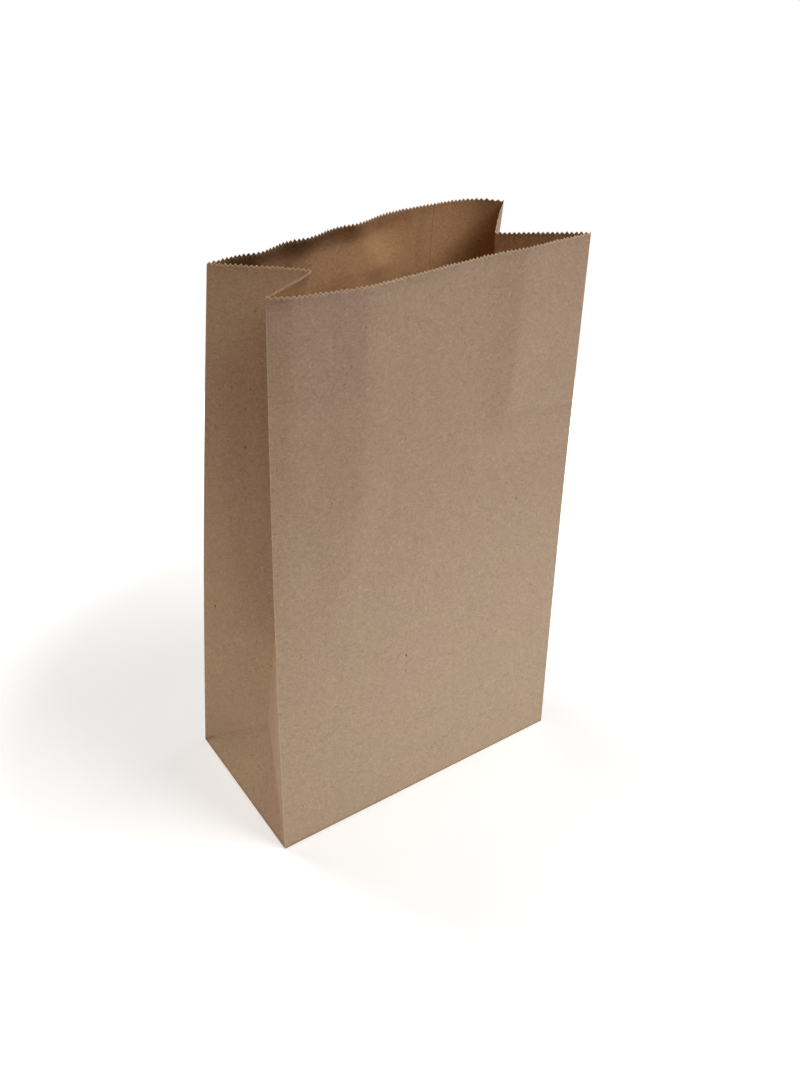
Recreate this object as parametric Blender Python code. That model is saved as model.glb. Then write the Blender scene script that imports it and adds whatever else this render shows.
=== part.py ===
"""A block-bottom kraft paper bag, folded from one sheet and glued.

The sheet is a tube of two wide panels and two gusseted sides. Its foot is
folded flat into a rectangular bottom, and its top is cut by a serrated knife.
Metres, +Z up, standing on z = 0 with the middle of the foot at the origin.
"""
import bmesh
import bpy
from math import sqrt
from mathutils import Vector

# The flat sheet
bag_width = 0.220
gusset_depth = 0.112
bag_height = 0.368
paper = 0.00013

# Serrated cut at the mouth
tooth_pitch = 0.0028
tooth_height = 0.0013

# Glued bottom and back seam
flap_lap = 0.020
seam_from_edge = 0.045
seam_fade = 0.015

# How far the top end of each corner crease stands from upright, along X and Y
front_left_lean = (0.0024, 0.0276)
front_right_lean = (0.0011, 0.0241)
back_right_lean = (-0.0033, -0.0151)
back_left_lean = (-0.0004, -0.0267)

# How far the foot end of each gusset's middle fold stands in from its side
left_tuck = 0.0207
right_tuck = 0.0172

# Bulge of each wide panel at the mouth, going round the bag from the front left crease:
# share of the way across the panel, and how far it stands out of the line between its creases
front_bulge = [(0.0, 0.0), (0.10, 0.0070), (0.27, 0.0103), (0.45, 0.0073), (0.65, 0.0028),
               (0.85, 0.0016), (1.0, 0.0)]
back_bulge = [(0.0, 0.0), (0.05, 0.0075), (0.13, 0.0135), (0.30, 0.0160), (0.50, 0.0120),
              (0.70, 0.0065), (0.90, 0.0025), (1.0, 0.0)]

# Mesh fineness
panel_columns = 26
half_gusset_columns = 4
wall_rows = 5
tooth_strip = 0.004

half_depth = gusset_depth / 2
foot_level = 2 * paper
crease_length = bag_height - foot_level


def smooth_height(knots, share):
    """Height, at a share of the way along, of a smooth line through the knots."""
    last = len(knots) - 1
    i = 0
    while i < last - 1 and share > knots[i + 1][0]:
        i += 1
    slopes = []
    for k in (i, i + 1):
        before = knots[max(k - 1, 0)]
        after = knots[min(k + 1, last)]
        slopes.append((after[1] - before[1]) / (after[0] - before[0]))
    (x0, y0), (x1, y1) = knots[i], knots[i + 1]
    run = x1 - x0
    t = (share - x0) / run
    return (y0 * (1 + 2 * t) * (1 - t) ** 2 + y1 * t * t * (3 - 2 * t)
            + run * (slopes[0] * t * (1 - t) ** 2 - slopes[1] * t * t * (1 - t)))


def leaned(foot, shift):
    """Top end of a line of the sheet whose foot is given: its length stays."""
    x, y = shift[0], shift[1]
    return foot + Vector((x, y, sqrt(crease_length ** 2 - x ** 2 - y ** 2)))


def meeting_point(centres, distances, towards):
    """The point at given distances from three points, on the side of `towards`."""
    first, second, third = centres
    along = (second - first).normalized()
    span = (second - first).length
    reach = along.dot(third - first)
    across = (third - first - reach * along).normalized()
    drop = across.dot(third - first)
    normal = along.cross(across)
    if normal.dot(towards - first) < 0:
        normal.negate()
    r1, r2, r3 = distances
    x = (r1 ** 2 - r2 ** 2 + span ** 2) / (2 * span)
    y = (r1 ** 2 - r3 ** 2 + reach ** 2 + drop ** 2) / (2 * drop) - reach / drop * x
    return first + x * along + y * across + sqrt(r1 ** 2 - x ** 2 - y ** 2) * normal


class Panel:
    """A wide panel: straight at the foot, bulged at the mouth."""

    def __init__(self, foot_start, foot_end, top_start, top_end, bulge, outwards):
        self.foot = (foot_start, foot_end)
        self.top = (top_start, top_end)
        self.bulge = bulge
        self.outwards = outwards

    def point(self, share, up):
        foot = self.foot[0].lerp(self.foot[1], share)
        chord = self.top[0].lerp(self.top[1], share)
        bulged = chord + self.outwards * smooth_height(self.bulge, share)
        top = leaned(foot, bulged - foot)
        return foot.lerp(top, up / crease_length)


class Gusset:
    """A side folded inwards along its middle, with a triangle left at its foot."""

    def __init__(self, foot_start, foot_end, top_start, top_end, tuck, inwards):
        self.foot = (foot_start, foot_end)
        self.top = (top_start, top_end)
        middle = foot_start.lerp(foot_end, 0.5)
        rise = sqrt(half_depth ** 2 - tuck ** 2)
        self.apex = middle + inwards * tuck + Vector((0, 0, rise))
        distances = (half_depth, half_depth, crease_length - half_depth)
        self.fold_top = meeting_point((top_start, top_end, self.apex), distances, Vector((0, 0, 0)))

    def crease(self, side, up):
        return self.foot[side].lerp(self.top[side], up / crease_length)

    def point(self, share, up):
        side = 0 if share <= 0.5 else 1
        from_crease = (share if side == 0 else 1 - share) * gusset_depth
        crease = self.crease(side, up)
        if up >= half_depth:
            fold = self.apex.lerp(self.fold_top, (up - half_depth) / (crease_length - half_depth))
            return crease.lerp(fold, from_crease / half_depth)
        corner_fold = self.foot[side].lerp(self.apex, up / half_depth)
        if from_crease < up:
            return crease.lerp(corner_fold, from_crease / up)
        other_fold = self.foot[1 - side].lerp(self.apex, up / half_depth)
        return corner_fold.lerp(other_fold, (from_crease - up) / (gusset_depth - 2 * up))


def make_sides():
    """The four walls in order round the tube, starting at the front left crease."""
    x = bag_width / 2
    y = half_depth
    feet = [Vector((-x, -y, foot_level)), Vector((x, -y, foot_level)),
            Vector((x, y, foot_level)), Vector((-x, y, foot_level))]
    leans = (front_left_lean, front_right_lean, back_right_lean, back_left_lean)
    tops = [leaned(foot, lean) for foot, lean in zip(feet, leans)]
    return [
        Panel(feet[0], feet[1], tops[0], tops[1], front_bulge, Vector((0, -1, 0))),
        Gusset(feet[1], feet[2], tops[1], tops[2], right_tuck, Vector((-1, 0, 0))),
        Panel(feet[2], feet[3], tops[2], tops[3], back_bulge, Vector((0, 1, 0))),
        Gusset(feet[3], feet[0], tops[3], tops[0], left_tuck, Vector((1, 0, 0))),
    ]


def lapped_lines(panel, shares):
    """Upright lines of the panel with the glued seam.

    The seam is a lap whose outer layer ends in a cut edge, so the line nearest to it
    is put on that edge twice, one paper apart, and the lap dies away beyond.
    """
    seam = seam_from_edge / bag_width
    nearest = min(shares, key=lambda share: abs(share - seam))
    lap = panel.outwards * paper
    lines = []
    for share in shares:
        if share == nearest:
            lines += [(panel, seam, Vector()), (panel, seam, lap)]
        elif share < seam:
            lines.append((panel, share, Vector()))
        else:
            past = (share - seam) * bag_width
            lines.append((panel, share, lap * max(0.0, 1 - past / seam_fade)))
    return lines


def make_lines(sides):
    """The sheet's upright lines: side, share of the way across it, and lift of the lap."""
    lines = []
    for side in sides:
        columns = panel_columns if isinstance(side, Panel) else 2 * half_gusset_columns
        shares = [i / columns for i in range(columns)]
        if side is sides[2]:
            lines += lapped_lines(side, shares)
        else:
            lines += [(side, share, Vector()) for share in shares]
    return lines


def make_rows():
    """Heights up the sheet, so that the corner folds of the gussets run through its points."""
    strip = crease_length - tooth_strip
    low = [half_depth * i / half_gusset_columns for i in range(half_gusset_columns + 1)]
    high = [half_depth + (strip - half_depth) * i / wall_rows for i in range(1, wall_rows + 1)]
    return low + high + [crease_length - tooth_height]


def fold_corners(bm, grid, lines):
    """Crease the sheet along the slanting folds from the bottom corners to each gusset's apex."""
    for first, (side, share, lift) in enumerate(lines):
        if isinstance(side, Gusset) and share == 0:
            last = first + 2 * half_gusset_columns
            for i in range(half_gusset_columns):
                bmesh.ops.connect_verts(bm, verts=[grid[first + i, i], grid[first + i + 1, i + 1]])
                bmesh.ops.connect_verts(bm, verts=[grid[last - i, i], grid[last - i - 1, i + 1]])


def cut_teeth(rim, lines):
    """Divide the rim and lift every other point into a tooth."""
    for (side, share, lift), low, high in zip(lines, rim, rim[1:]):
        steps = 2 * round((high.co - low.co).length / tooth_pitch)
        rise = side.point(share, crease_length) + lift - low.co
        tips = []
        here = low
        for left in range(steps, 1, -1):
            edge = next(e for e in here.link_edges if e.other_vert(here) == high)
            here = bmesh.utils.edge_split(edge, here, 1 / left)[1]
            if left % 2 == 0:
                tips.append(here)
        for tip in tips:
            tip.co += rise


def make_sheet():
    """The sheet's outer face, folded from a flat grid, with its foot closed."""
    lines = make_lines(make_sides())
    rows = make_rows()
    columns = len(lines)
    last_row = len(rows) - 1
    bm = bmesh.new()
    bmesh.ops.create_grid(bm, x_segments=columns, y_segments=last_row, size=1)
    grid = {}
    for vert in bm.verts:
        column = round((vert.co.x + 1) / 2 * columns)
        row = round((vert.co.y + 1) / 2 * last_row)
        grid[column, row] = vert
    for (column, row), vert in grid.items():
        side, share, lift = lines[column % columns]
        vert.co = side.point(share, rows[row]) + lift
    fold_corners(bm, grid, lines)
    cut_teeth([grid[column, last_row] for column in range(columns + 1)], lines)
    bmesh.ops.remove_doubles(bm, verts=bm.verts, dist=paper / 10)
    foot = [e for e in bm.edges if e.is_boundary and e.verts[0].co.z < half_depth]
    bmesh.ops.contextual_create(bm, geom=foot)
    bmesh.ops.recalc_face_normals(bm, faces=bm.faces)
    return bm


def slab(name, outline, low, high):
    """A flat flap: its outline in plan, between two levels."""
    bm = bmesh.new()
    face = bm.faces.new([bm.verts.new((x, y, low)) for x, y in outline])
    grown = bmesh.ops.extrude_face_region(bm, geom=[face])["geom"]
    top = [g for g in grown if isinstance(g, bmesh.types.BMVert)]
    bmesh.ops.translate(bm, verts=top, vec=(0, 0, high - low))
    bmesh.ops.recalc_face_normals(bm, faces=bm.faces)
    return add_object(name, bm)


def add_object(name, bm):
    mesh = bpy.data.meshes.new(name)
    bm.to_mesh(mesh)
    bm.free()
    thing = bpy.data.objects.new(name, mesh)
    bpy.context.scene.collection.objects.link(thing)
    return thing


def make_flaps():
    """The bottom's flaps: back, then front over it outside, and a tuck at each end inside."""
    x = bag_width / 2 - paper / 2
    y = half_depth - paper / 2
    reach = half_depth + flap_lap / 2
    flaps = []
    for name, facing, low in (("back_flap", 1, paper), ("front_flap", -1, 0.0)):
        edge = facing * (y - reach)
        mitred = x - reach
        outline = [(-x, facing * y), (x, facing * y), (mitred, edge), (-mitred, edge)]
        flaps.append(slab(name, outline, low, foot_level + paper / 2))
    for name, end in (("left_tuck_flap", -1), ("right_tuck_flap", 1)):
        outline = [(end * x, -y), (end * x, y), (end * (x - half_depth), 0)]
        flaps.append(slab(name, outline, foot_level + paper / 2, foot_level + 2 * paper))
    for flap in flaps:
        flap.hide_render = True
        flap.display_type = "WIRE"
    return flaps


def kraft_paper():
    material = bpy.data.materials.new("kraft_paper")
    material.use_nodes = True
    shader = material.node_tree.nodes["Principled BSDF"]
    shader.inputs["Base Color"].default_value = (0.43, 0.31, 0.22, 1)
    shader.inputs["Roughness"].default_value = 0.85
    shader.inputs["Metallic"].default_value = 0
    return material


for old in list(bpy.data.objects):
    bpy.data.objects.remove(old)

bag = add_object("paper_bag", make_sheet())
bag.data.materials.append(kraft_paper())
wall = bag.modifiers.new("Paper", "SOLIDIFY")
wall.thickness = paper
wall.offset = -1
wall.use_even_offset = True
for flap in make_flaps():
    join = bag.modifiers.new(flap.name, "BOOLEAN")
    join.operation = "UNION"
    join.object = flap
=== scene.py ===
"""A block-bottom kraft paper bag, standing open: its paper, folds, cut edge and finish."""
import random
from math import exp, floor, pi, radians, sin, sqrt

import bmesh
import bpy
from mathutils import Matrix, Vector, noise


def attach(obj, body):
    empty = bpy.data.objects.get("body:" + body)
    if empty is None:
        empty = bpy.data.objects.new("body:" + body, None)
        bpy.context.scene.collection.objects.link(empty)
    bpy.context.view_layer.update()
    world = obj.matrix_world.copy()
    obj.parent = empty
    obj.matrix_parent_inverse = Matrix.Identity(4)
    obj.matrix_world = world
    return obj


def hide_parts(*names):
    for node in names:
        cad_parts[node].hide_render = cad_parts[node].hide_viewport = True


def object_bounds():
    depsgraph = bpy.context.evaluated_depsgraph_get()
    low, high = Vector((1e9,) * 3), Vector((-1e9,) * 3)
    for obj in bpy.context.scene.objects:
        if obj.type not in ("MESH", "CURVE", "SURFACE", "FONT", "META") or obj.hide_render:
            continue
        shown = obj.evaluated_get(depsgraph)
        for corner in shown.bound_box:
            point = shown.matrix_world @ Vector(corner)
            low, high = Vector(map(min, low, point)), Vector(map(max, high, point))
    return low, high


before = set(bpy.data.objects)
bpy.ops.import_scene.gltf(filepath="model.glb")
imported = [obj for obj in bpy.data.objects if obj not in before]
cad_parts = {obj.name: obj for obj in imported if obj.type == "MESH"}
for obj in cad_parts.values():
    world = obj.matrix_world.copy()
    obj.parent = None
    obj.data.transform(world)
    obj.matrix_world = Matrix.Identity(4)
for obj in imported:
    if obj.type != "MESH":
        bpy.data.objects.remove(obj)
solid_low, solid_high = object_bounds()


# Camera
# It stands to the left of the bag's front and looks down into the mouth, a little tilted,
# as the photograph was taken. The small shift is the off-centre framing of that picture.
camera_place = (-0.35037, -0.45552, 0.56183)
camera_azimuth = radians(-33.90)
camera_elevation = radians(29.05)
camera_roll = radians(1.91)

lens = bpy.data.cameras.new("camera")
lens.sensor_width = 36.0
lens.lens = 35.87
lens.shift_x = 0.0606
lens.shift_y = -0.0913
camera = bpy.data.objects.new("camera", lens)
bpy.context.scene.collection.objects.link(camera)
camera.matrix_world = (Matrix.Translation(camera_place)
                       @ Matrix.Rotation(camera_azimuth, 4, "Z")
                       @ Matrix.Rotation(pi / 2 - camera_elevation, 4, "X")
                       @ Matrix.Rotation(camera_roll, 4, "Z"))
bpy.context.scene.camera = camera


# Walls
# One sheet of brown kraft paper, folded round into a tube with two gusseted sides and glued
# down a lapped seam at the back. A serrated knife cuts its mouth, and its foot is folded flat.
bag_width = 0.220
gusset_depth = 0.112
half_depth = gusset_depth / 2
paper = 0.00013
foot_level = 2 * paper
crease_length = solid_high.z - foot_level

# The knife's teeth: their heights vary by these shares, and their tips bend in or out
tooth_pitch = 0.0028
tooth_height = 0.0015
least_tooth = 0.86
most_tooth = 1.10
tooth_bend = 0.00016
tip_bluntness = 1.12
frayed_edge = 0.00070
# Depth of the band of painted shade under the teeth, where the crimped strip turns from the light
crimp_shade_depth = 0.0045

seam_from_edge = 0.045
seam_fade = 0.015

# How far the top end of each corner crease stands from upright, along X and Y
front_left_lean = (0.0024, 0.0276)
front_right_lean = (0.0011, 0.0241)
back_right_lean = (-0.0033, -0.0151)
back_left_lean = (-0.0004, -0.0267)

# How far the foot end of each gusset's middle fold stands in from its side
left_tuck = 0.0207
right_tuck = 0.0172

# Bulge of each wide panel at the mouth, going round from the front left crease:
# share of the way across, and how far it stands out of the line between its creases
front_bulge = [(0.0, 0.0), (0.05, 0.0050), (0.10, 0.0068), (0.17, 0.0084), (0.25, 0.0092),
               (0.37, 0.0086), (0.45, 0.0068), (0.54, 0.0044), (0.65, 0.0020), (0.76, 0.0010),
               (0.85, 0.0008), (1.0, 0.0)]
back_bulge = [(0.0, 0.0), (0.06, 0.0110), (0.14, 0.0165), (0.23, 0.0166), (0.32, 0.0176),
              (0.41, 0.0158), (0.50, 0.0126), (0.59, 0.0118), (0.68, 0.0062), (0.76, 0.0056),
              (0.85, 0.0010), (0.91, 0.0026), (1.0, 0.0)]

# The whole tube bows a little to the left between its foot and its mouth
sway = 0.0015

# Slow and quick waves of the paper, and how near to a fold they die away
slow_wave = 0.0010
quick_wave = 0.0003
fold_hold = 0.010

# Folds sharper than this many degrees show as a line
sharp_fold = 24


def smooth_height(knots, share):
    """Height, at a share of the way along, of a smooth line through the knots."""
    last = len(knots) - 1
    i = 0
    while i < last - 1 and share > knots[i + 1][0]:
        i += 1
    slopes = []
    for k in (i, i + 1):
        before = knots[max(k - 1, 0)]
        after = knots[min(k + 1, last)]
        slopes.append((after[1] - before[1]) / (after[0] - before[0]))
    (x0, y0), (x1, y1) = knots[i], knots[i + 1]
    run = x1 - x0
    t = (share - x0) / run
    return (y0 * (1 + 2 * t) * (1 - t) ** 2 + y1 * t * t * (3 - 2 * t)
            + run * (slopes[0] * t * (1 - t) ** 2 - slopes[1] * t * t * (1 - t)))


def leaned(foot, shift):
    """Top end of a line of the sheet whose foot is given: its length stays."""
    x, y = shift[0], shift[1]
    return foot + Vector((x, y, sqrt(crease_length ** 2 - x ** 2 - y ** 2)))


def meeting_point(centres, distances, towards):
    """The point at given distances from three points, on the side of `towards`."""
    first, second, third = centres
    along = (second - first).normalized()
    span = (second - first).length
    reach = along.dot(third - first)
    across = (third - first - reach * along).normalized()
    drop = across.dot(third - first)
    normal = along.cross(across)
    if normal.dot(towards - first) < 0:
        normal.negate()
    r1, r2, r3 = distances
    x = (r1 ** 2 - r2 ** 2 + span ** 2) / (2 * span)
    y = (r1 ** 2 - r3 ** 2 + reach ** 2 + drop ** 2) / (2 * drop) - reach / drop * x
    return first + x * along + y * across + sqrt(r1 ** 2 - x ** 2 - y ** 2) * normal


class Panel:
    """A wide panel: straight at the foot, bulged at the mouth."""

    width = bag_width

    def __init__(self, foot_start, foot_end, top_start, top_end, bulge, outwards):
        self.foot = (foot_start, foot_end)
        self.top = (top_start, top_end)
        self.bulge = bulge
        self.outwards = outwards

    def point(self, across, up):
        share = across / bag_width
        foot = self.foot[0].lerp(self.foot[1], share)
        chord = self.top[0].lerp(self.top[1], share)
        bulged = chord + self.outwards * smooth_height(self.bulge, share)
        top = leaned(foot, bulged - foot)
        return foot.lerp(top, up / crease_length)


class Gusset:
    """A side folded inwards along its middle, with a triangle left at its foot."""

    width = gusset_depth

    def __init__(self, foot_start, foot_end, top_start, top_end, tuck, inwards):
        self.foot = (foot_start, foot_end)
        self.top = (top_start, top_end)
        middle = foot_start.lerp(foot_end, 0.5)
        rise = sqrt(half_depth ** 2 - tuck ** 2)
        self.apex = middle + inwards * tuck + Vector((0, 0, rise))
        distances = (half_depth, half_depth, crease_length - half_depth)
        self.fold_top = meeting_point((top_start, top_end, self.apex), distances, Vector((0, 0, 0)))

    def crease(self, side, up):
        return self.foot[side].lerp(self.top[side], up / crease_length)

    def point(self, across, up):
        side = 0 if across <= half_depth else 1
        from_crease = across if side == 0 else gusset_depth - across
        crease = self.crease(side, up)
        if up >= half_depth:
            fold = self.apex.lerp(self.fold_top, (up - half_depth) / (crease_length - half_depth))
            return crease.lerp(fold, from_crease / half_depth)
        corner_fold = self.foot[side].lerp(self.apex, up / half_depth)
        if from_crease < up:
            return crease.lerp(corner_fold, from_crease / up)
        other_fold = self.foot[1 - side].lerp(self.apex, up / half_depth)
        return corner_fold.lerp(other_fold, (from_crease - up) / (gusset_depth - 2 * up))


def make_sides():
    """The four walls in order round the tube, starting at the front left crease."""
    x = bag_width / 2
    y = half_depth
    feet = [Vector((-x, -y, foot_level)), Vector((x, -y, foot_level)),
            Vector((x, y, foot_level)), Vector((-x, y, foot_level))]
    leans = (front_left_lean, front_right_lean, back_right_lean, back_left_lean)
    tops = [leaned(foot, lean) for foot, lean in zip(feet, leans)]
    return [
        Panel(feet[0], feet[1], tops[0], tops[1], front_bulge, Vector((0, -1, 0))),
        Gusset(feet[1], feet[2], tops[1], tops[2], right_tuck, Vector((-1, 0, 0))),
        Panel(feet[2], feet[3], tops[2], tops[3], back_bulge, Vector((0, 1, 0))),
        Gusset(feet[3], feet[0], tops[3], tops[0], left_tuck, Vector((1, 0, 0))),
    ]


# Upright lines and rows of the sheet lie one tooth apart, and closer beside each crease
crease_half = 0.0005
row_step = 0.0030


def steps_between(start, end, step):
    count = max(1, round((end - start) / step))
    return [start + (end - start) * i / count for i in range(count)]


def half_gusset_marks():
    """Distances from a crease to the middle of a gusset. The slanting folds need the same ones."""
    inner = steps_between(0, half_depth, tooth_pitch)[1:]
    return [0.0, crease_half] + inner + [half_depth - crease_half]


def side_marks(side):
    """Distances across a side at which the sheet has an upright line."""
    edge = half_gusset_marks()
    if isinstance(side, Gusset):
        return edge + [half_depth] + [gusset_depth - mark for mark in reversed(edge[1:])]
    middle = steps_between(half_depth, bag_width - half_depth, tooth_pitch)
    far_edge = [bag_width - mark for mark in reversed(edge[1:])]
    return edge + middle + [bag_width - half_depth] + far_edge


def make_lines(sides):
    """Upright lines of the sheet: side, distance across it, distance round the tube, lift.

    The seam is a lap whose outer layer ends in a cut edge, so that edge is there twice,
    one paper apart, and the lap dies away beyond it.
    """
    lines = []
    round_tube = 0.0
    for side in sides:
        marks = side_marks(side)
        seam = min(marks, key=lambda mark: abs(mark - seam_from_edge))
        for mark in marks:
            lift = 0.0
            if side is sides[2] and mark >= seam:
                if mark == seam:
                    lines.append((side, mark, round_tube + mark, 0.0))
                lift = paper * max(0.0, 1 - (mark - seam) / seam_fade)
            lines.append((side, mark, round_tube + mark, lift))
        round_tube += side.width
    return lines


def make_rows():
    """Distances up the sheet, from the foot's fold to the bottoms of the teeth."""
    low = half_gusset_marks() + [half_depth]
    top = crease_length - tooth_height - frayed_edge
    return low + steps_between(half_depth, top, row_step)[1:] + [top]


# Lines pressed into the paper while the bag lay flat: the two ends as distances across the
# side and up it, the reach to each side, and how far the line stands out
front_lines = [
    ((0.055, 0.380), (0.055, 0.245), 0.022, 0.0018),
    ((0.055, 0.245), (0.036, 0.176), 0.020, 0.0015),
    ((0.168, 0.380), (0.164, 0.262), 0.022, 0.0019),
    ((-0.010, 0.303), (0.052, 0.301), 0.012, -0.0009),
    ((0.148, 0.262), (0.230, 0.257), 0.014, -0.0014),
    ((0.101, 0.306), (0.102, 0.262), 0.008, -0.0004),
    ((-0.010, 0.272), (0.034, 0.180), 0.016, -0.0009),
]
back_lines = [
    ((0.056, 0.380), (0.056, 0.120), 0.020, 0.0014),
    ((0.164, 0.380), (0.164, 0.150), 0.020, 0.0014),
    ((-0.010, 0.057), (0.230, 0.056), 0.010, -0.0007),
    ((0.080, 0.355), (0.230, 0.348), 0.019, 0.0034),
    ((0.112, 0.370), (0.090, 0.335), 0.012, -0.0013),
    ((0.040, 0.300), (0.090, 0.318), 0.016, 0.0014),
    ((0.130, 0.350), (0.150, 0.300), 0.014, -0.0011),
]
gusset_lines = [
    ((0.022, 0.310), (0.034, 0.180), 0.016, -0.0012),
    ((0.080, 0.310), (0.094, 0.180), 0.016, -0.0012),
]

# The strip under the mouth is bent a little where the bag was pulled open: its depth, and how
# far the rim then stands out of each side at a distance across it
bent_strip = 0.014
rim_bends = [
    [(0.0, 0.0026), (0.052, 0.0026), (0.060, 0.0018), (0.170, 0.0018), (0.220, 0.0006)],
    [(0.0, 0.0004), (0.112, 0.0004)],
    [(0.0, -0.0004), (0.070, -0.0010), (0.110, -0.0034), (0.220, -0.0034)],
    [(0.0, 0.0), (0.020, -0.0010), (0.050, -0.0028), (0.112, -0.0010)],
]

# Areas painted darker or lighter: painted shade and painted light for how the light falls on the
# paper's pressed, bent and bulged facets, outside and inside the bag. Each has its corners as
# distances across the side and up it, the change of tone, and the width of its soft edge. The sides
# go round from the front, first as seen from outside and then from inside the bag.
outer_painted_light_areas = [
    [([(-0.010, 0.385), (-0.010, 0.303), (0.0555, 0.301), (0.0555, 0.385)], -0.055, 0.002),
     ([(-0.020, 0.395), (-0.020, 0.285), (0.036, 0.160), (0.064, 0.235), (0.064, 0.395)],
      -0.035, 0.014),
     ([(0.167, 0.385), (0.163, 0.262), (0.240, 0.255), (0.240, 0.385)], 0.075, 0.003),
     ([(0.174, 0.420), (0.172, 0.285), (0.280, 0.285), (0.280, 0.420)], 0.040, 0.020),
     ([(0.136, 0.240), (0.180, 0.240), (0.178, 0.330), (0.140, 0.325)], -0.028, 0.018),
     ([(0.140, 0.230), (0.240, 0.226), (0.240, 0.257), (0.140, 0.259)], 0.040, 0.006),
     ([(-0.010, 0.356), (0.036, 0.3655), (0.036, 0.385), (-0.010, 0.385)], -0.060, 0.0020),
     ([(0.056, 0.348), (0.120, 0.352), (0.120, 0.395), (0.056, 0.395)], -0.035, 0.010),
     ([(-0.060, 0.440), (-0.060, 0.270), (0.200, 0.270), (0.200, 0.440)], 0.060, 0.060)],
    [([(0.004, 0.345), (0.014, 0.110), (0.098, 0.110), (0.108, 0.345)], -0.110, 0.030)],
    [([(-0.020, 0.395), (-0.020, 0.160), (0.0575, 0.130), (0.0575, 0.395)], -0.050, 0.003),
     ([(0.163, 0.395), (0.163, 0.150), (0.240, 0.170), (0.240, 0.395)], -0.030, 0.003)],
    [([(0.004, 0.345), (0.014, 0.110), (0.098, 0.110), (0.108, 0.345)], -0.110, 0.030),
     ([(-0.060, 0.420), (-0.060, 0.295), (0.080, 0.295), (0.080, 0.420)], 0.090, 0.040),
     ([(0.066, -0.050), (0.170, -0.050), (0.170, 0.110), (0.058, 0.110)], -0.070, 0.012)],
]
inner_painted_light_areas = [
    [],
    [([(-0.020, 0.420), (-0.020, 0.290), (0.060, 0.290), (0.060, 0.420)], -0.120, 0.030)],
    [([(-0.020, 0.395), (-0.020, 0.160), (0.0575, 0.130), (0.0575, 0.395)], 0.080, 0.012),
     ([(0.030, 0.440), (0.030, 0.260), (0.135, 0.260), (0.135, 0.440)], 0.110, 0.045),
     ([(0.095, 0.440), (0.095, 0.240), (0.300, 0.240), (0.300, 0.440)], -0.180, 0.060),
     ([(0.120, 0.3545), (0.212, 0.3525), (0.212, 0.400), (0.120, 0.400)], -0.260, 0.007)],
    [([(0.056, 0.420), (0.056, 0.250), (0.150, 0.250), (0.150, 0.420)], -0.220, 0.006)],
]

# Painted shade and shadow: in the slit up the back left foot corner, a contact shadow along the
# foot, and the shadow beside the seam's edge. Pale marks: the rubbed folds and edges, partly
# painted highlights.
corner_mark = 0.010
corner_painted_shade = -0.30
foot_mark = 0.001
foot_painted_shadow = -0.20
seam_painted_shadow = -0.07
seam_wear = 0.28
fold_wear_and_highlight = 0.24
middle_fold_wear_and_highlight = 0.35
cut_wear = 0.05


def between(knots, at):
    """Value at a place on straight runs between the knots."""
    for (start, low), (end, high) in zip(knots, knots[1:]):
        if at <= end:
            return low + (high - low) * (at - start) / (end - start)
    return knots[-1][1]


def stands_out(pressed, across, up):
    """How far a pressed line lifts the paper at a point: a straight roof along the line."""
    (x0, y0), (x1, y1), reach, height = pressed
    dx, dy = x1 - x0, y1 - y0
    t = ((across - x0) * dx + (up - y0) * dy) / (dx * dx + dy * dy)
    t = min(1.0, max(0.0, t))
    away = sqrt((across - x0 - t * dx) ** 2 + (up - y0 - t * dy) ** 2)
    return height * max(0.0, 1 - away / reach)


def tone_at(areas, across, up):
    """Change of tone at a point of a side: full inside each area, less along its soft edge."""
    tone = 0.0
    for corners, change, soft in areas:
        deepest = soft
        for (x0, y0), (x1, y1) in zip(corners, corners[1:] + corners[:1]):
            dx, dy = x1 - x0, y1 - y0
            depth = (dx * (up - y0) - dy * (across - x0)) / sqrt(dx * dx + dy * dy)
            deepest = min(deepest, depth)
        tone += change * max(0.0, deepest) / soft
    return tone


def relief(sides, side, across, up):
    """How far the paper stands out of its plain folded shape."""
    number = sides.index(side)
    crease_gap = min(across, side.width - across)
    if isinstance(side, Gusset):
        crease_gap = min(crease_gap, abs(across - half_depth), abs(crease_gap - up))
    crease_gap = min(crease_gap, up)
    held = 1 - exp(-crease_gap / fold_hold)
    place = Vector((across * 14 + 5.3 * number, up * 8, 2.7 * number))
    wave = slow_wave * noise.noise(place) + quick_wave * noise.noise(place * 2.9)
    pressed = (front_lines, gusset_lines, back_lines, gusset_lines)[number]
    pressed_in = sum(stands_out(line, across, up) for line in pressed)
    into_strip = max(0.0, (up - crease_length + bent_strip) / bent_strip)
    bend = into_strip ** 2 * between(rim_bends[number], across)
    return held * (wave + pressed_in + bend)


def crease_wear_and_highlight(side, across, up):
    """How far the paper is rubbed pale, partly a painted highlight where the fold catches the
    light: along every upright fold.
    """
    if across == 0:
        return fold_wear_and_highlight
    if isinstance(side, Gusset) and across == half_depth and up >= half_depth:
        return middle_fold_wear_and_highlight
    return 0.0


def fold_corners(bm, grid, lines, reach):
    """Crease the sheet along the slanting folds from the bottom corners to each gusset's apex."""
    for first, (side, across, round_tube, lift) in enumerate(lines):
        if isinstance(side, Gusset) and across == 0:
            last = first + 2 * reach
            for i in range(reach):
                bmesh.ops.connect_verts(bm, verts=[grid[first + i, i], grid[first + i + 1, i + 1]])
                bmesh.ops.connect_verts(bm, verts=[grid[last - i, i], grid[last - i - 1, i + 1]])


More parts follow.
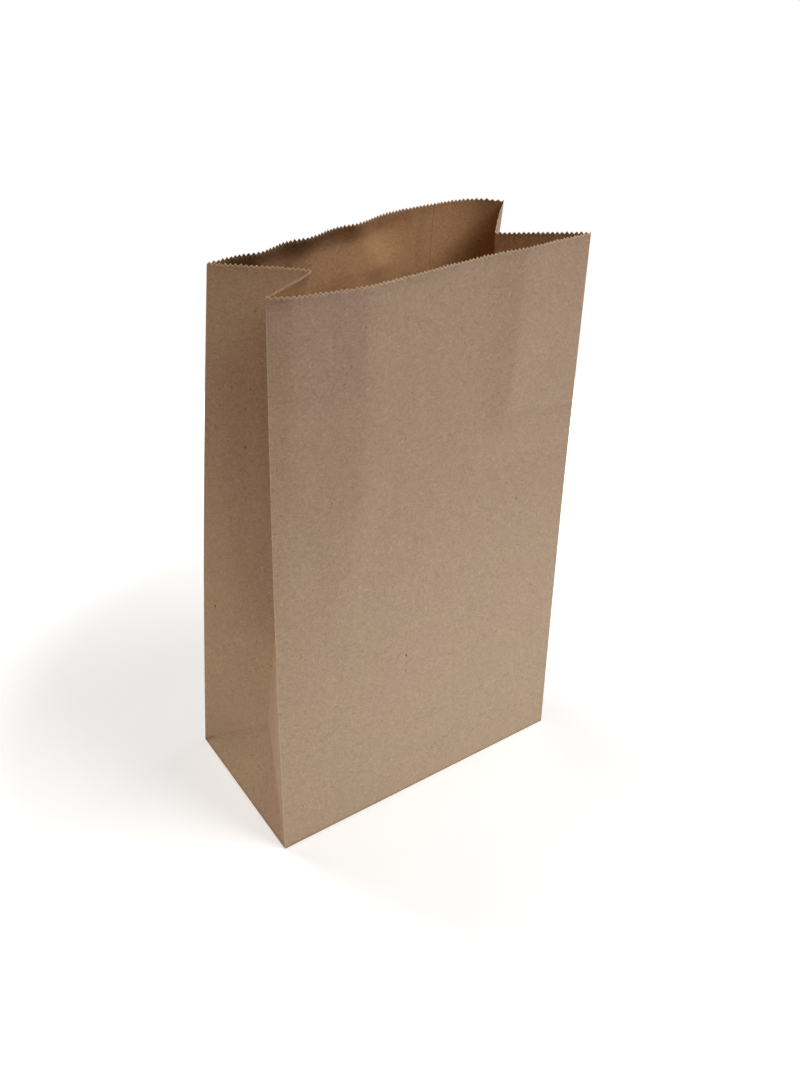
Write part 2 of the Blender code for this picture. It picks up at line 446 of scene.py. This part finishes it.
def cut_teeth(bm, rim, lines):
    """Cut the rim into teeth that run on round the whole tube.

    The rim is split at each quarter of a tooth, but not right beside a line of the sheet.
    What comes back is each rim point with the direction in which the paper climbs there.
    """
    chance = random.Random(11)
    total = 2 * (bag_width + gusset_depth)
    teeth = round(total / tooth_pitch)
    pitch = total / teeth
    heights = [tooth_height * chance.uniform(least_tooth, most_tooth) for tooth in range(teeth + 1)]
    bends = [chance.gauss(0, tooth_bend) for tooth in range(teeth + 1)]
    quarter = pitch / 4
    least_gap = 0.1
    ends = [line[2] for line in lines[1:]] + [total]
    cut = {}
    for (side, across, start, lift), end, low, high in zip(lines, ends, rim, rim[1:]):
        cut[low] = (start, side, across)
        here = low
        at = start
        mark = floor(start / quarter + (1 + least_gap)) * quarter
        while mark < end - quarter * least_gap:
            edge = next(e for e in here.link_edges if e.other_vert(here) == high)
            here = bmesh.utils.edge_split(edge, here, (mark - at) / (end - at))[1]
            cut[here] = (mark, side, across + mark - start)
            at = mark
            mark += quarter
    cut[rim[-1]] = (total, lines[0][0], 0.0)
    climbs = {}
    for vert, (mark, side, across) in cut.items():
        climb = side.point(min(across, side.width), crease_length)
        climb = (climb - side.point(min(across, side.width), crease_length - 0.01)).normalized()
        share = mark / pitch % 1
        rise = min(1.0, 2 * min(share, 1 - share) * tip_bluntness)
        tooth = floor(mark / pitch) % teeth
        climbs[vert] = climb
        vert.co += climb * heights[tooth] * rise + vert.normal * bends[tooth] * rise
    return climbs


def make_sheet():
    """The sheet's outer face, folded from a flat grid, with its foot closed."""
    sides = make_sides()
    lines = make_lines(sides)
    rows = make_rows()
    columns = len(lines)
    last_row = len(rows) - 1
    bm = bmesh.new()
    bmesh.ops.create_grid(bm, x_segments=columns, y_segments=last_row, size=1)
    wear_and_highlight = bm.verts.layers.float.new("wear_and_highlight")
    crimp_shade = bm.verts.layers.float.new("crimp_shade")
    outer_painted_shading = bm.verts.layers.float.new("outer_painted_shading")
    inner_painted_shading = bm.verts.layers.float.new("inner_painted_shading")
    grid = {}
    for vert in bm.verts:
        column = round((vert.co.x + 1) / 2 * columns)
        row = round((vert.co.y + 1) / 2 * last_row)
        grid[column, row] = vert
    for (column, row), vert in grid.items():
        side, across, round_tube, lift = lines[column % columns]
        vert.co = side.point(across, rows[row])
        vert[wear_and_highlight] = crease_wear_and_highlight(side, across, rows[row])
        # Painted shade in a band under the teeth
        vert[crimp_shade] = max(0.0, 1 - (rows[last_row] - rows[row]) / crimp_shade_depth)
        number = sides.index(side)
        # Painted light and shade of each side, outside and inside
        vert[outer_painted_shading] = tone_at(outer_painted_light_areas[number], across, rows[row])
        vert[inner_painted_shading] = tone_at(inner_painted_light_areas[number], across, rows[row])
        if lift == paper:
            vert[wear_and_highlight] = seam_wear
        # Painted shadow beside the seam's outer edge
        elif lines[(column + 1) % columns][3] == paper:
            vert[outer_painted_shading] += seam_painted_shadow
        # Painted shade in the slit up the back left foot corner
        if side is sides[3] and across == rows[row] < corner_mark:
            vert[outer_painted_shading] += corner_painted_shade
        # Painted contact shadow along the foot
        if rows[row] < foot_mark:
            vert[outer_painted_shading] += foot_painted_shadow
    fold_corners(bm, grid, lines, len(half_gusset_marks()))
    bm.normal_update()
    for (column, row), vert in grid.items():
        side, across, round_tube, lift = lines[column % columns]
        vert.co += vert.normal * (lift + relief(sides, side, across, rows[row]))
    rim = [grid[column, last_row] for column in range(columns + 1)]
    climbs = cut_teeth(bm, rim, lines)
    rim_edges = [e for e in bm.edges if e.verts[0] in climbs and e.verts[1] in climbs]
    grown = bmesh.ops.extrude_edge_only(bm, edges=rim_edges)["geom"]
    bmesh.ops.recalc_face_normals(bm, faces=bm.faces)
    for vert in climbs:
        vert[wear_and_highlight] = cut_wear
    for vert in (g for g in grown if isinstance(g, bmesh.types.BMVert)):
        below = min(climbs, key=lambda old: (old.co - vert.co).length_squared)
        vert.co += climbs[below] * frayed_edge
        # The frayed cut edge is palest: pale cut fibres, partly a painted highlight
        vert[wear_and_highlight] = 1.0
        vert[crimp_shade] = 0.0
    for vert in bm.verts:
        vert.co.x -= sway * sin(pi * vert.co.z / crease_length)
    bmesh.ops.remove_doubles(bm, verts=bm.verts, dist=paper / 10)
    foot = [e for e in bm.edges if e.is_boundary and e.verts[0].co.z < half_depth]
    bmesh.ops.contextual_create(bm, geom=foot)
    bmesh.ops.recalc_face_normals(bm, faces=bm.faces)
    return bm


def add_piece(name, bm):
    """A piece from its bmesh, shaded smooth between its sharp folds."""
    mesh = bpy.data.meshes.new(name)
    bm.to_mesh(mesh)
    bm.free()
    mesh.shade_smooth()
    mesh.set_sharp_from_angle(angle=radians(sharp_fold))
    piece = bpy.data.objects.new(name, mesh)
    bpy.context.scene.collection.objects.link(piece)
    return piece


class Value:
    """A shader socket that can be used in sums: each one adds a Math node."""

    def __init__(self, tree, socket):
        self.tree = tree
        self.socket = socket

    def node(self, kind, settings, inputs, output=0):
        """Add a node: its settings first, then the values or links of its sockets."""
        made = self.tree.nodes.new("ShaderNode" + kind)
        for name, setting in settings.items():
            setattr(made, name, setting)
        for name, given in inputs.items():
            if isinstance(given, Value):
                self.tree.links.new(given.socket, made.inputs[name])
            else:
                made.inputs[name].default_value = given
        return Value(self.tree, made.outputs[output])

    def maths(self, operation, first, second):
        return self.node("Math", {"operation": operation}, {0: first, 1: second})

    def __add__(self, other):
        return self.maths("ADD", self, other)

    def __radd__(self, other):
        return self.maths("ADD", other, self)

    def __sub__(self, other):
        return self.maths("SUBTRACT", self, other)

    def __rsub__(self, other):
        return self.maths("SUBTRACT", other, self)

    def __mul__(self, other):
        return self.maths("MULTIPLY", self, other)

    def __rmul__(self, other):
        return self.maths("MULTIPLY", other, self)

    def stretched(self, scale):
        """These coordinates, scaled differently along X, Y and Z."""
        return self.node("Mapping", {}, {"Vector": self, "Scale": scale})

    def grain(self, scale, detail=2.0):
        """Noise from 0 to 1 at these coordinates."""
        return self.node("TexNoise", {}, {"Vector": self, "Scale": scale, "Detail": detail})

    def ramp(self, low, high):
        """0 below `low`, 1 above `high`, and straight between."""
        return self.node("MapRange", {}, {"Value": self, "From Min": low, "From Max": high})

    def blend(self, first, second):
        """One colour where this is 0, the other where it is 1."""
        return self.node("Mix", {"data_type": "RGBA"}, {0: self, 6: first, 7: second}, 2)


def kraft_paper(name, pink, olive, tones, least_wear):
    """Unbleached kraft: brown, cloudy and matt, with fine fibres and a few dark specks.

    It is pinker towards the mouth and more olive towards the foot, a painted tint of the warmer
    light above and the cooler bounce light near the foot. `tones` names the sheet's painted light
    and shade for this face, and rubbed places, partly painted highlights, show where they are worn
    more than `least_wear`.
    """
    material = bpy.data.materials.new(name)
    material.use_nodes = True
    tree = material.node_tree
    shader = tree.nodes["Principled BSDF"]
    place = Value(tree, tree.nodes.new("ShaderNodeTexCoord").outputs["Object"])
    wear_and_highlight = place.node("Attribute", {"attribute_name": "wear_and_highlight"}, {}, "Fac")
    crimp_shaded = place.node("Attribute", {"attribute_name": "crimp_shade"}, {}, "Fac")
    # pressed: this face's painted light and shade, read from the sheet
    pressed = place.node("Attribute", {"attribute_name": tones}, {}, "Fac")

    level = place.node("SeparateXYZ", {}, {"Vector": place}, "Z")
    # Pinker high up and more olive low down: a painted tint of the warmer light above and the
    # cooler bounce light near the foot. The random patches are the paper's own, and the face's
    # painted light and shade shift them too.
    patches = 0.85 - 2.8 * level + 0.6 * place.grain(13.0).ramp(0.35, 0.65) + 4 * pressed
    clouds = place.grain(230.0).ramp(0.28, 0.72)
    upright = place.stretched((1.0, 1.0, 0.55))
    fibres = upright.grain(1100.0, 5.0).ramp(0.25, 0.75)
    lying = place.stretched((0.5, 0.5, 1.3)).grain(900.0, 4.0)
    # Darker in the band under the teeth: painted shade of the crimped strip
    tone = 0.91 + 0.08 * clouds + 0.32 * (fibres - 0.5) - 0.16 * crimp_shaded + pressed
    tone = tone + 0.16 * lying.ramp(0.56, 0.68) - 0.16 * lying.ramp(0.44, 0.32)
    shade = place.node("CombineColor", {}, {"Red": tone, "Green": tone, "Blue": tone})
    colour = place.node("Mix", {"data_type": "RGBA", "blend_type": "MULTIPLY"},
                        {0: 1.0, 6: patches.blend(pink, olive), 7: shade}, 2)

    def specks(size, share):
        """Short upright specks: about one for each `share` of the cells of a given fineness."""
        cells = upright.node("TexVoronoi", {}, {"Vector": upright, "Scale": size}, "Distance")
        chosen = upright.node("TexVoronoi", {}, {"Vector": upright, "Scale": size}, "Color")
        return (1 - cells.ramp(0.10, 0.24)) * chosen.ramp(1 - share, 1 - share + 0.02)

    colour = (0.65 * specks(460.0, 0.20)).blend(colour, (0.15, 0.085, 0.050, 1))
    colour = (0.90 * specks(280.0, 0.06)).blend(colour, (0.08, 0.045, 0.030, 1))
    colour = (0.25 * specks(370.0, 0.12)).blend(colour, (0.80, 0.66, 0.50, 1))
    # Rubbed pale along folds and cut edges, partly a painted highlight
    rubbed_and_highlit = wear_and_highlight.ramp(least_wear, 1.0) * (0.55 + 0.8 * place.grain(900.0))
    colour = rubbed_and_highlit.blend(colour, (0.90, 0.68, 0.44, 1))
    tree.links.new(colour.socket, shader.inputs["Base Color"])
    shader.inputs["Metallic"].default_value = 0
    shader.inputs["Specular IOR Level"].default_value = 0.35
    roughness = 0.78 + 0.14 * fibres
    tree.links.new(roughness.socket, shader.inputs["Roughness"])
    height = 0.7 * fibres + 0.6 * clouds
    bump = place.node("Bump", {}, {"Strength": 0.5, "Distance": 0.00008, "Height": height})
    tree.links.new(bump.socket, shader.inputs["Normal"])
    return material


outer_kraft = kraft_paper("kraft_outside", (0.443, 0.272, 0.187, 1), (0.429, 0.292, 0.182, 1),
                          "outer_painted_shading", 0.0)
# The inside face: the same paper painted brighter and more orange, painted light for the warm light
# bounced round inside the bag
inner_kraft_painted_bounce = kraft_paper("kraft_inside_painted_bounce", (0.600, 0.355, 0.190, 1), (0.595, 0.362, 0.188, 1),
                          "inner_painted_shading", 0.6)
walls = add_piece("bag_walls", make_sheet())
walls.data.materials.append(outer_kraft)
walls.data.materials.append(inner_kraft_painted_bounce)
thickness = walls.modifiers.new("Paper", "SOLIDIFY")
thickness.thickness = paper
thickness.offset = -1
thickness.use_even_offset = True
thickness.material_offset = 1
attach(walls, "root")
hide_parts("paper_bag")


# Folded bottom
# The sheet's foot is folded in as a tuck at each end, then as a back flap and a front flap
# with mitred ends, glued one over the other on the outside.
flap_lap = 0.020
glue_gap = 0.00001


def add_flap(bm, outline, low, high):
    """A flat layer of paper: its outline in plan, between two levels."""
    face = bm.faces.new([bm.verts.new((x, y, low)) for x, y in outline])
    grown = bmesh.ops.extrude_face_region(bm, geom=[face])["geom"]
    top = [g for g in grown if isinstance(g, bmesh.types.BMVert)]
    bmesh.ops.translate(bm, verts=top, vec=(0, 0, high - low))


def make_bottom():
    bm = bmesh.new()
    x = bag_width / 2 - paper / 2
    y = half_depth - paper / 2
    reach = half_depth + flap_lap / 2
    for facing, low in ((1, paper), (-1, 0.0)):
        edge = facing * (y - reach)
        mitred = x - reach
        outline = [(-x, facing * y), (x, facing * y), (mitred, edge), (-mitred, edge)]
        add_flap(bm, outline, low, low + paper - glue_gap)
    floor_inside = foot_level + paper
    for end in (-1, 1):
        outline = [(end * x, -y + paper), (end * x, y - paper), (end * (x - half_depth), 0)]
        add_flap(bm, outline, floor_inside + glue_gap, floor_inside + paper)
    bmesh.ops.recalc_face_normals(bm, faces=bm.faces)
    return bm


bottom = add_piece("folded_bottom", make_bottom())
bottom.data.materials.append(outer_kraft)
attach(bottom, "root")
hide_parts("paper_bag")


# Floor and light
# A plain white floor that keeps the bag's soft shadow, two large soft lamps high in front and
# behind, and weak ones near the floor that brighten the bag's foot.
floor_size = 1.1
shadow_reach = (0.25, 0.50)


def white_floor():
    """Matt white. To the camera it turns plain white away from the bag."""
    material = bpy.data.materials.new("white_floor")
    material.use_nodes = True
    tree = material.node_tree
    shader = tree.nodes["Principled BSDF"]
    shader.inputs["Base Color"].default_value = (0.86, 0.86, 0.86, 1)
    shader.inputs["Roughness"].default_value = 0.9
    shader.inputs["Emission Color"].default_value = (1, 1, 1, 1)
    rays = tree.nodes.new("ShaderNodeLightPath")
    seen = (Value(tree, rays.outputs["Is Camera Ray"]) + Value(tree, rays.outputs["Is Glossy Ray"])
            + Value(tree, rays.outputs["Is Transmission Ray"]))
    place = Value(tree, tree.nodes.new("ShaderNodeTexCoord").outputs["Object"])
    away = place.node("VectorMath", {"operation": "LENGTH"}, {0: place}, "Value")
    glow = seen * (0.42 + 0.58 * away.ramp(*shadow_reach))
    tree.links.new(glow.socket, shader.inputs["Emission Strength"])
    return material


bm = bmesh.new()
bmesh.ops.create_grid(bm, x_segments=1, y_segments=1, size=floor_size / 2)
bmesh.ops.translate(bm, verts=bm.verts, vec=(0, 0, -0.0001))
ground = add_piece("floor", bm)
ground.data.materials.append(white_floor())

sky = bpy.data.worlds.new("sky")
bpy.context.scene.world = sky
sky.use_nodes = True
sky_tree = sky.node_tree
sky_rays = sky_tree.nodes.new("ShaderNodeLightPath")
seen = (Value(sky_tree, sky_rays.outputs["Is Camera Ray"])
        + Value(sky_tree, sky_rays.outputs["Is Glossy Ray"])
        + Value(sky_tree, sky_rays.outputs["Is Transmission Ray"]))
sky_tree.nodes["Background"].inputs["Color"].default_value = (1, 1, 1, 1)
sky_glow = 0.04 + 0.96 * seen
sky_tree.links.new(sky_glow.socket, sky_tree.nodes["Background"].inputs["Strength"])


def add_lamp(name, place, size, watts, colour):
    """A round soft lamp turned towards the middle of the bag."""
    data = bpy.data.lights.new(name, "AREA")
    data.color = colour
    data.shape = "DISK"
    data.size = size
    data.energy = watts
    lamp = bpy.data.objects.new(name, data)
    bpy.context.scene.collection.objects.link(lamp)
    lamp.location = place
    lamp.visible_camera = False
    aim = Vector((0, 0, 0.15)) - lamp.location
    lamp.rotation_euler = aim.to_track_quat("-Z", "Y").to_euler()


daylight = (1.02, 1.0, 0.97)
cool = (0.86, 1.02, 1.16)
warm = (1.0, 0.74, 0.46)
add_lamp("front_right_lamp", (0.8, -0.9, 1.9), 1.2, 22, daylight)
add_lamp("back_lamp", (-0.5, 1.4, 1.5), 1.0, 17, daylight)
add_lamp("close_front_lamp", (0.10, -0.45, 0.03), 0.2, 1.35, cool)
add_lamp("close_left_lamp", (-0.50, -0.08, 0.04), 0.2, 0.55, daylight)
add_lamp("low_left_lamp", (-1.2, -0.4, 0.10), 0.5, 1.9, warm)
add_lamp("low_right_lamp", (1.3, 0.1, 0.30), 0.5, 4, daylight)

bpy.context.scene.view_settings.view_transform = "Standard"
